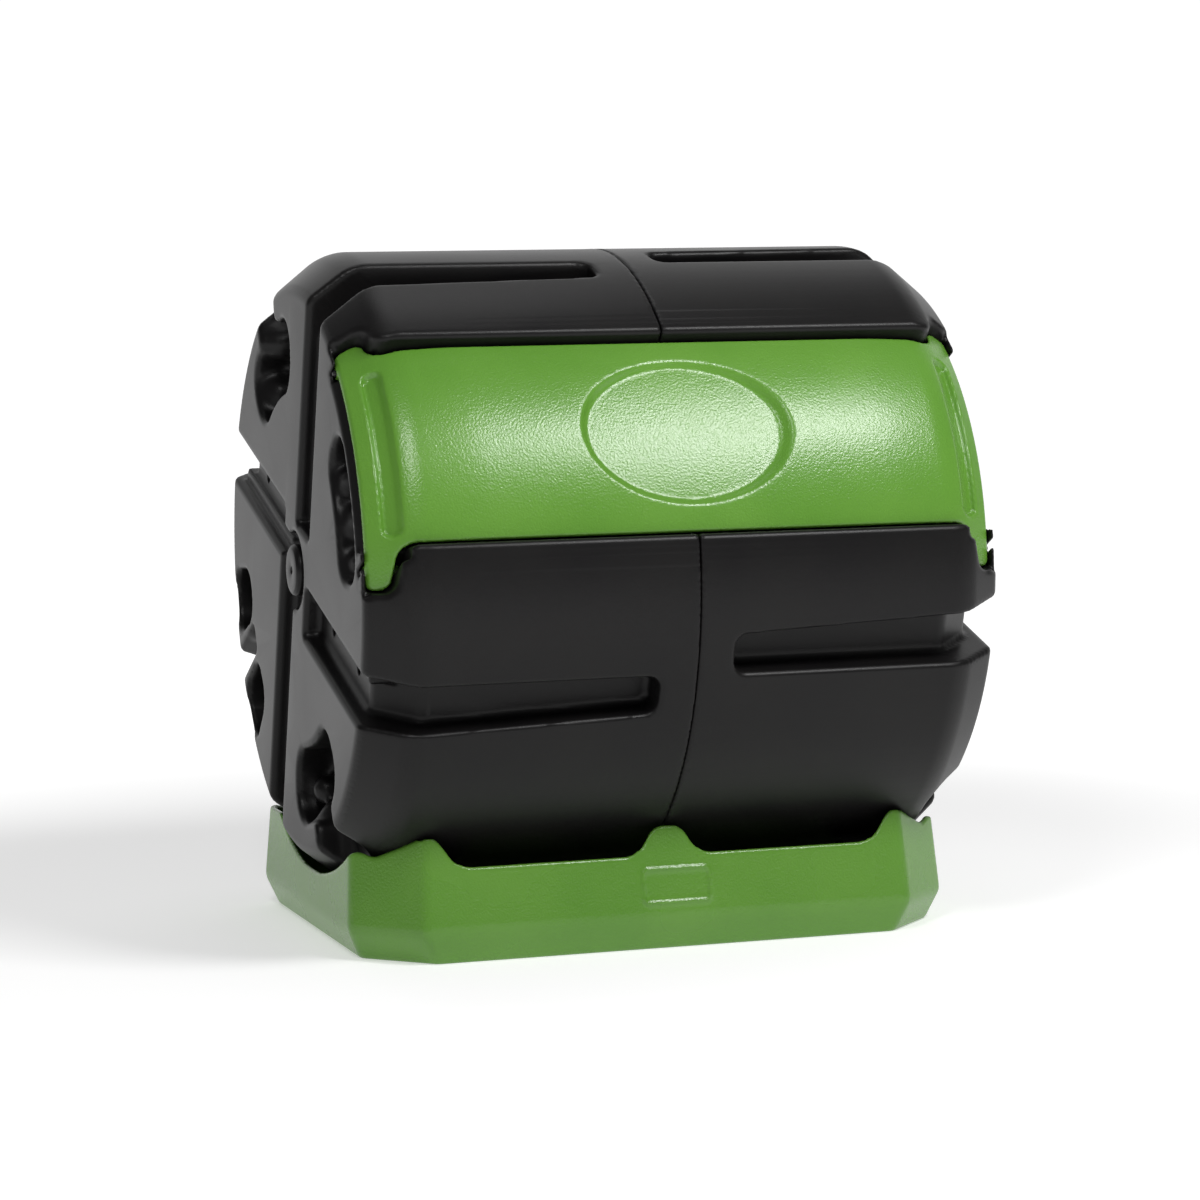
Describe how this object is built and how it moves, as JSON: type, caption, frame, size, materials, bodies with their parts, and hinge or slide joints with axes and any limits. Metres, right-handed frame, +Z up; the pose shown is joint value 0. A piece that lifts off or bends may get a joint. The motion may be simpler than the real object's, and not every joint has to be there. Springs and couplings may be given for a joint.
{
  "type": "compost tumbler",
  "caption": "Rolling compost drum of two black moulded halves with a lift-off green door, lying on rollers in a low green tray.",
  "frame": {"origin": "on the ground under the middle of the tray", "axes": "+Z up, X along the drum's axis, the door faces -Y"},
  "size_m": [0.594, 0.58, 0.629],
  "materials": {
    "drum_plastic": "moulded black polypropylene, fine satin texture",
    "green_plastic": "moulded green polypropylene, pebbled semi-gloss",
    "roller_plastic": "turned smooth black acetal",
    "zinc_steel": "bright zinc-plated steel",
    "spring_steel": "drawn spring wire",
    "pin_plastic": "black acetal"
  },
  "bodies": {
    "base": {"base_tray": "green_plastic", "axle_retainers": "zinc_steel", "axle_front_left": "zinc_steel", "axle_front_right": "zinc_steel", "axle_back_left": "zinc_steel", "axle_back_right": "zinc_steel"},
    "drum": {"drum_half_left": "drum_plastic", "drum_half_right": "drum_plastic", "seam_screws": "zinc_steel", "seam_nuts": "zinc_steel", "hub_plug_left": "drum_plastic", "hub_plug_right": "drum_plastic"},
    "door": {"door_panel": "green_plastic", "catch_spring_lower_left": "spring_steel", "catch_spring_upper_left": "spring_steel", "catch_spring_lower_right": "spring_steel", "catch_spring_upper_right": "spring_steel"},
    "roller_front_left": {"roller_front_left": "roller_plastic"},
    "roller_front_right": {"roller_front_right": "roller_plastic"},
    "roller_back_left": {"roller_back_left": "roller_plastic"},
    "roller_back_right": {"roller_back_right": "roller_plastic"},
    "catch_lower_left": {"catch_pin_lower_left": "pin_plastic"},
    "catch_upper_left": {"catch_pin_upper_left": "pin_plastic"},
    "catch_lower_right": {"catch_pin_lower_right": "pin_plastic"},
    "catch_upper_right": {"catch_pin_upper_right": "pin_plastic"}
  },
  "joints": [
    {"name": "drum_spin", "type": "hinge", "parent": "base", "child": "drum", "pos_m": [0, 0, 0.339], "axis": [1, 0, 0], "continuous": true},
    {"name": "door_lift", "type": "slide", "parent": "drum", "child": "door", "axis": [0, -0.8829, 0.4695], "range_m": [0, 0.16]},
    {"name": "roller_front_left_spin", "type": "hinge", "parent": "base", "child": "roller_front_left", "pos_m": [-0.2, -0.148, 0.06059], "axis": [1, 0, 0], "continuous": true},
    {"name": "roller_front_right_spin", "type": "hinge", "parent": "base", "child": "roller_front_right", "pos_m": [0.2, -0.148, 0.06059], "axis": [1, 0, 0], "continuous": true},
    {"name": "roller_back_left_spin", "type": "hinge", "parent": "base", "child": "roller_back_left", "pos_m": [-0.2, 0.148, 0.06059], "axis": [1, 0, 0], "continuous": true},
    {"name": "roller_back_right_spin", "type": "hinge", "parent": "base", "child": "roller_back_right", "pos_m": [0.2, 0.148, 0.06059], "axis": [1, 0, 0], "continuous": true},
    {"name": "catch_lower_left_slide", "type": "slide", "parent": "door", "child": "catch_lower_left", "axis": [1, 0, 0], "range_m": [0, 0.004], "stiffness_N_per_m": 900, "springref_m": -0.003, "deforming": ["catch_spring_lower_left"]},
    {"name": "catch_upper_left_slide", "type": "slide", "parent": "door", "child": "catch_upper_left", "axis": [1, 0, 0], "range_m": [0, 0.004], "stiffness_N_per_m": 900, "springref_m": -0.003, "deforming": ["catch_spring_upper_left"]},
    {"name": "catch_lower_right_slide", "type": "slide", "parent": "door", "child": "catch_lower_right", "axis": [-1, 0, 0], "range_m": [0, 0.004], "stiffness_N_per_m": 900, "springref_m": -0.003, "deforming": ["catch_spring_lower_right"]},
    {"name": "catch_upper_right_slide", "type": "slide", "parent": "door", "child": "catch_upper_right", "axis": [-1, 0, 0], "range_m": [0, 0.004], "stiffness_N_per_m": 900, "springref_m": -0.003, "deforming": ["catch_spring_upper_right"]}
  ],
  "couplings": [
    {"joint": "roller_front_left_spin", "follows": "drum_spin", "ratio": -11.6},
    {"joint": "roller_front_right_spin", "follows": "drum_spin", "ratio": -11.6},
    {"joint": "roller_back_left_spin", "follows": "drum_spin", "ratio": -11.6},
    {"joint": "roller_back_right_spin", "follows": "drum_spin", "ratio": -11.6}
  ]
}
